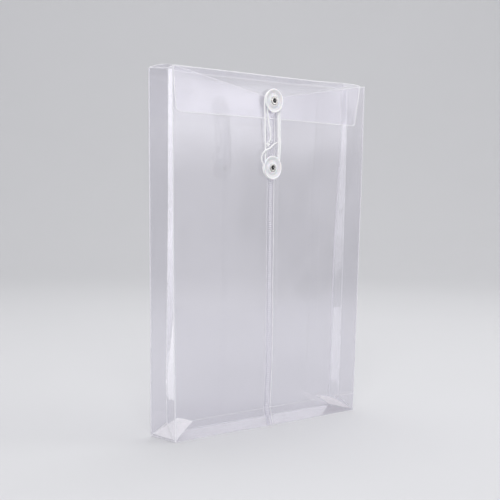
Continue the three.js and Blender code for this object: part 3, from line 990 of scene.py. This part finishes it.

# %% [markdown]
# ## Top spine
# The back runs over the top as a narrow spine. It folds back when the bag is opened, so
# it is a plate of its own, with narrow rows cut beside its crease. It arches at both
# ends, and its right end droops.

# %% Spine
HINGE_RUN = 1.5 * MM
CROWN = 0.9 * MM
END_ARCH = 1.5 * MM
SPINE_WAVE = 0.3 * MM
LEFT_TUCK = 0.9 * MM


def top_crown(x):
    """The top fold rises a little before it droops to its right end."""
    return CROWN * ease(x, 55, 90) * ease(x, 116, 106)


spine = plate(
    "spine_film", (0, (spine_low[1] + spine_high[1]) / 2, HEIGHT),
    spine_high[0] - spine_low[0], spine_high[1] - spine_low[1], *FILM_SET,
)
edge_strips(spine, lambda face: abs(face.calc_center_median().x) < spine_high[0] - EDGE_BAND)
cut_across(spine, "x", steps(spine_low[0], spine_high[0], GRID))
cut_across(spine, "y", steps(spine_low[1], spine_high[1], 4 * MM))
cut_across(spine, "y", [spine_high[1] - share * HINGE_RUN for share in FOLD_ROWS])
for vert in spine.data.vertices:
    at = vert.co
    share = (at.y - spine_low[1]) / (spine_high[1] - spine_low[1])
    arch = math.sin(math.pi * share)
    at.z += END_ARCH * arch * ease(abs(at.x), 60, 115)
    at.z += SPINE_WAVE * arch * noise.noise(Vector((at.x / 0.06, 2, 0))) + top_crown(at.x)
    if at.x < 0:
        at.x += spread(at.x, HEIGHT) - LEFT_TUCK * ease(-at.x, 60, 117) * (1 - share)
    skew_back(at)
thicken(spine, 40)
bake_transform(spine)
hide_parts("top_spine")
print("spine", len(spine.data.polygons), "faces")

# %% [markdown]
# ## Closing flap
# The flap hangs from the spine. Its lower corners are rounded, its sides lean in, and
# its free edge lifts. The outline comes from a plate whose lower corners are moved and
# bevelled, as a die would cut it, and the lift from the same waves as the panels'.

# %% Closing flap
FLAP_TAPER = 4.5 * MM
FLAP_CORNER = 4 * MM
FLAP_RUN = (flap_high[2] - flap_low[2]) / MM
FLAP_LIFT = 0.35
FLAP_WAVE = 0.55
CORNER_LIFT = 0.8
LEFT_CALM = 0.7
LEFT_BACK = 0.6 * MM
RIGHT_DROP = 1.1 * MM
RIGHT_TUCK = 3.4 * MM

flap = plate(
    "closing_flap_film", (0, FLAP_Y, (flap_low[2] + flap_high[2]) / 2),
    flap_high[0] - flap_low[0], flap_high[2] - flap_low[2], *FILM_SET, turn=math.pi / 2,
)
for vert in flap.data.vertices:
    if vert.co.z < flap_low[2] + TINY:
        vert.co.x -= math.copysign(FLAP_TAPER, vert.co.x)
act_on(
    flap, "verts", lambda vert: vert.co.z < flap_low[2] + TINY,
    bpy.ops.mesh.bevel, offset=FLAP_CORNER, segments=8, affect="VERTICES",
)
edge_strips(flap, lambda face: face.calc_center_median().z > flap_high[2] - EDGE_BAND)
cut_across(flap, "x", [BUTTON_X - 12 * MM, BUTTON_X + 12 * MM, *steps(flap_low[0], flap_high[0], GRID)])
cut_across(flap, "z", steps(flap_low[2], flap_high[2], 5 * MM))
cut_across(flap, "z", [flap_high[2] - share * HINGE_RUN for share in FOLD_ROWS])
for vert in flap.data.vertices:
    at = vert.co
    down = flap_high[2] - at.z
    free = ease(down, 0, FLAP_RUN)
    calm = ease(abs(at.x - BUTTON_X), 10, 45)
    corner = ease(at.x, 75, 120)
    left = ease(-at.x, 85, 117)
    lift = (FLAP_WAVE * wave(at.x, at.z, 21) + FLAP_LIFT) * (1 - LEFT_CALM * left) + CORNER_LIFT * corner
    at.y -= MM * free * calm * lift - LEFT_BACK * left * ease(down, 0, 20)
    at.z += top_crown(at.x) * (1 - free) - RIGHT_DROP * free * max(0, at.x) / HALF_W
    if at.x < 0:
        at.x += spread(at.x, HEIGHT) - LEFT_TUCK * (1 + free) * left
    else:
        at.x -= RIGHT_TUCK * free * at.x / HALF_W
if sum(face.normal.y for face in flap.data.polygons) > 0:
    flap.data.flip_normals()
thicken(flap, 40)
punch(flap, UPPER_Z)
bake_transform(flap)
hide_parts("closing_flap")
print("flap", len(flap.data.polygons), "faces")

# %% [markdown]
# ## Finishes of the small pieces
# Moulded plastic is smooth and white, with faint flow marks and a little light inside
# it. The dished part of each disc is coloured greyer. The eyelets are nickel plate, and
# the deep part of each bore is painted near black as painted shade. The yarn is matt
# with a fuzz of fibres. One plain colour would look drawn, so colour and roughness
# wander with a noise pattern.

# %% Finishes of the small pieces


def shades(tree, pattern, low, high, span):
    """Turns a pattern into a colour between two shades."""
    ramp = add(tree, "ValToRGB", {"Fac": pattern})
    for stop, shade, place in zip(ramp.color_ramp.elements, (low, high), span):
        stop.color = (*shade, 1)
        stop.position = place
    return ramp


def solid_finish(name, sockets, pattern, low, high, span=(0.3, 0.7), rough=None, grain=None, fuzz=None):
    """A solid finish whose colour wanders with a pattern, and its roughness if that is given."""
    material, tree = new_material(name)
    marks = object_noise(tree, *pattern)
    surface = {**sockets, "Base Color": shades(tree, marks, low, high, span)}
    if rough:
        surface["Roughness"] = ranged(tree, marks, *rough)
    if grain:
        dots = object_noise(tree, 1800, 2)
        surface["Normal"] = add(tree, "Bump", {"Strength": grain, "Distance": 0.05 * MM, "Height": dots})
    if fuzz:
        surface["Normal"] = add(tree, "Bump", {"Strength": fuzz, "Distance": 0.1 * MM, "Height": marks})
    add(tree, "OutputMaterial", {"Surface": add(tree, "BsdfPrincipled", surface)})
    return material


PLASTIC = {"IOR": 1.5, "Subsurface Weight": 0.12, "Subsurface Scale": 0.002}
moulded_plastic = solid_finish(
    "moulded_plastic", PLASTIC, (260, 4), (0.86, 0.855, 0.865), (0.92, 0.915, 0.925),
    rough=(0.3, 0.42), grain=0.25,
)
# A greyer colour for the recessed dish of each disc, between hub and rim.
greyer_dish_plastic = solid_finish(
    "greyer_dished_plastic", PLASTIC, (260, 4), (0.7, 0.695, 0.715), (0.78, 0.775, 0.795),
    rough=(0.3, 0.42), grain=0.25,
)
plated_eyelet = solid_finish(
    "plated_eyelet", {"Metallic": 1}, (700, 5), (0.42, 0.41, 0.40), (0.66, 0.65, 0.64), (0.35, 0.65),
    rough=(0.16, 0.34),
)
# Near-black metal for the deep part of each bore: painted shade where the bore lies in shadow, not the
# plating's own colour.
painted_shade_bore = solid_finish(
    "painted_shade_bore", {"Metallic": 0.6}, (900, 4), (0.02, 0.02, 0.02), (0.07, 0.065, 0.06), (0, 1),
    rough=(0.4, 0.6),
)
braided_yarn = solid_finish(
    "braided_yarn", {"Roughness": 0.85, "Sheen Weight": 0.3}, (2600, 3, (1, 1, 0.35)),
    (0.82, 0.815, 0.82), (0.93, 0.93, 0.93), (0.3, 0.6), fuzz=0.5,
)
for piece in (string_piece, tail_piece, knot_piece):
    give(piece, braided_yarn)
for place in ("upper", "lower"):
    for slot in bpy.data.objects[place + "_washer"].material_slots:
        slot.material = moulded_plastic
print("finishes of the small pieces made")

# %% [markdown]
# ## Buttons and eyelets
# Each disc is moulded: a hub that the string winds round, and a dish with a raised rim
# and a ring groove. A hollow eyelet with a rolled lip holds it. A Spin could sweep their
# profiles, but leaves doubled points. So a ring of vertices is extruded from one point
# of the profile to the next and scaled to its radius, and a small bevel lets the edges
# catch light. The washers behind the film keep their CAD shape.

# %% Turned pieces


def turned(name, profile, face_y, z, sides, material, soften):
    """Extrudes and scales a ring along a closed profile of radius and height."""
    let_go()
    radius, height = profile[0]
    bpy.ops.mesh.primitive_circle_add(vertices=sides, radius=radius * MM, location=(0, 0, height * MM))
    piece = newest(name)
    edit(piece, True)
    for next_radius, next_height in [*profile[1:], profile[0]]:
        bpy.ops.mesh.extrude_edges_move(
            TRANSFORM_OT_translate={"value": (0, 0, (next_height - height) * MM)},
        )
        ratio = next_radius / radius
        bpy.ops.transform.resize(value=(ratio, ratio, 1), center_override=(0, 0, next_height * MM))
        radius = next_radius
        height = next_height
    bpy.ops.mesh.select_all(action="SELECT")
    bpy.ops.mesh.remove_doubles(threshold=TINY)
    bpy.ops.mesh.normals_make_consistent(inside=False)
    stop_edit()
    piece.rotation_euler = (math.pi / 2, 0, 0)
    piece.location = (BUTTON_X, face_y, z)
    only(piece)
    bpy.ops.object.transform_apply(location=True, rotation=True, scale=True)
    apply_modifier(
        piece, "BEVEL", width=soften, segments=2, limit_method="ANGLE", angle_limit=math.radians(32),
    )
    smooth_by_angle(piece, 45)
    give(piece, material)
    return piece


# Radius, and height off the film towards the front, in millimetres
button_profile = [
    (2.75, 0.1), (4.5, 0.1), (4.5, 2.5), (5.0, 3.0), (10.2, 3.0), (10.9, 3.25), (11.25, 3.75),
    (11.1, 4.15), (10.7, 4.4), (10.2, 4.35), (9.7, 3.95), (9.3, 3.7), (7.8, 3.55), (7.5, 3.2),
    (6.8, 3.2), (6.5, 3.55), (5.5, 3.6), (5.15, 4.1), (4.4, 4.1), (4.25, 3.9), (2.75, 3.9),
]


def eyelet_profile(rear):
    """From the flange at the rear, up the outside and over the lip, and down the bore."""
    return [
        (2.0, rear), (4.1, rear), (4.1, rear + 0.25), (2.6, rear + 0.25), (2.6, 4.0), (3.93, 4.0),
        (4.1, 4.23), (3.87, 4.56), (2.95, 4.7), (2.2, 4.49), (2.0, 4.18), (2.0, 2.2),
    ]


def other_finish(piece, z, material, test):
    """Gives another material to the faces whose radius and place pass the test."""
    give(piece, material)
    for face in piece.data.polygons:
        radius = math.hypot(face.center.x - BUTTON_X, face.center.z - z)
        if test(radius, face.center.y):
            face.material_index = 1


for place, face_y, z, carrier in (
    ("upper", FLAP_Y, UPPER_Z, "flap"), ("lower", FRONT_Y, LOWER_Z, "bag_body"),
):
    disc = turned(place + "_button_moulded", button_profile, face_y, z, 72, moulded_plastic, 0.12 * MM)
    dish_y = face_y - 3.2 * MM
    other_finish(disc, z, greyer_dish_plastic, lambda radius, y: y < dish_y and 5.2 * MM < radius < 9.8 * MM)
    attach(disc, place + "_disc")
    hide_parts(place + "_button")
    rear = (face_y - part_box(place + "_eyelet")[1][1]) / MM
    eyelet = turned(place + "_eyelet_rolled", eyelet_profile(rear), face_y, z, 48, plated_eyelet, 0.06 * MM)
    # The faces deep in the bore get the near-black metal, as painted shade.
    bore_y = face_y - 2.2 * MM
    other_finish(eyelet, z, painted_shade_bore, lambda radius, y: y > bore_y and radius < 2.1 * MM)
    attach(eyelet, carrier)
    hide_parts(place + "_eyelet")
    print(place, "button", len(disc.data.polygons), "eyelet", len(eyelet.data.polygons), "faces")

# %% [markdown]
# ## Floor
# The floor sweeps up into a plain pale backdrop, grey enough that white edges stand
# out. A bent sheet would do for one view, but the bag is seen from all sides, so it is a
# round bowl: a disc whose edge is extruded upwards, with a large bevel between.

# %% Floor and backdrop
FLOOR_R = 3.4
WALL_H = 3
FLOOR_BEND = 1.6
PAPER = (0.6, 0.6, 0.615)

paper, tree = new_material("pale_paper")
darker, lighter = ([part * share for part in PAPER] for share in (0.99, 1.01))
cloud = shades(tree, object_noise(tree, 3, 4), darker, lighter, (0, 1))
add(tree, "OutputMaterial", {"Surface": add(tree, "BsdfDiffuse", {"Color": cloud})})

let_go()
bpy.ops.mesh.primitive_circle_add(vertices=96, radius=FLOOR_R, fill_type="NGON")
floor = newest("studio_floor")
act_on(
    floor, "edges", lambda edge: True,
    bpy.ops.mesh.extrude_edges_move, TRANSFORM_OT_translate={"value": (0, 0, WALL_H)},
)
act_on(
    floor, "edges", lambda edge: all(vert.co.z < TINY for vert in edge.verts),
    bpy.ops.mesh.bevel, offset=FLOOR_BEND, segments=18, affect="EDGES",
)
smooth_by_angle(floor, 40)
give(floor, paper)
print("floor", len(floor.data.polygons), "faces")

# %% [markdown]
# ## Lamps and world
# Large soft lamps light the bag from above and both sides, and one lights the backdrop.
# Small lamps would leave hard spots in the film. The pale world fills the shadows, and
# a colour renders about as it is written.

# %% Lamps and world


def soft_lamp(name, place, target, width, height, watts):
    data = bpy.data.lights.new(name, "AREA")
    data.shape = "RECTANGLE"
    data.size = width
    data.size_y = height
    data.energy = watts
    lamp = bpy.data.objects.new(name, data)
    bpy.context.scene.collection.objects.link(lamp)
    lamp.location = place
    lamp.rotation_euler = (Vector(target) - Vector(place)).to_track_quat("-Z", "Y").to_euler()
    lamp.visible_camera = False
    return lamp


soft_lamp("overhead_lamp", (0.2, 0.3, 1.9), (0, 0, 0.1), 1.8, 1.4, 16)
soft_lamp("key_lamp", (-1.3, -1.5, 1.6), (0, 0, 0.15), 1.0, 1.0, 32)
soft_lamp("right_lamp", (1.5, -1.1, 1.7), (0, 0, 0.15), 0.9, 0.9, 11)
soft_lamp("backdrop_lamp", (0.9, 1.0, 2.9), (2.3, 2.6, 0.7), 1.6, 0.6, 30)

world = bpy.data.worlds.new("studio")
bpy.context.scene.world = world
world.use_nodes = True
background = world.node_tree.nodes["Background"]
background.inputs["Color"].default_value = (0.93, 0.94, 0.96, 1)
background.inputs["Strength"].default_value = 0.45
bpy.context.scene.view_settings.view_transform = "Standard"

# %% [markdown]
# ## Cards that the film mirrors
# White cards stood beside clear film show in it as bright bands. Two tall ones behind
# give the folded left side its band, a high and a low one light the mouth and the foot,
# and a wide one in front, with soft patches, gives the front its sheen. Brighter lamps
# would bleach the white pieces, so only mirror-like rays see these cards.

# %% Cards


def mirror_card(name, middle, width, height, low, high, patches=0, start=0, end=1, turn=0):
    """An upright card whose light goes from low to high between two shares of its height."""
    card = plate(name, (0, 0, 0), width, height, turn=math.pi / 2)
    card.rotation_euler = (0, 0, turn)
    card.location = middle
    material, tree = new_material(name + "_light")
    up = add(tree, "SeparateXYZ", {"Vector": add(tree, "TexCoord").outputs["Object"]}).outputs["Z"]
    rise = ranged(tree, up, low, high, (start - 0.5) * height, (end - 0.5) * height)
    cloud = ranged(tree, object_noise(tree, 4, 2), 1 - patches, 1, 0.4, 0.6)
    glow = add(tree, "Emission", {"Strength": add(tree, "Math", {0: rise, 1: cloud}, operation="MULTIPLY")})
    add(tree, "OutputMaterial", {"Surface": glow})
    give(card, material)
    card.visible_camera = False
    card.visible_diffuse = False
    card.visible_shadow = False
    card.visible_transmission = False


mirror_card("side_card", (-0.135, 0.16, 0.18), 0.1, 0.36, 1.5, 2.5)
mirror_card("far_side_card", (0.025, 0.6, 0.21), 0.12, 0.42, 1.2, 2)
mirror_card("far_high_card", (0.2, 0.6, 0.34), 0.23, 0.24, 1.5, 1.1)
mirror_card("low_card", (0.175, 0.2, 0.045), 0.45, 0.09, 1.6, 1.6)
mirror_card(
    "front_card", (0.75, -0.9, 0.45), 1.4, 0.9, 0.9, 2.3, patches=0.45, start=0.3, end=0.48,
    turn=math.radians(41),
)
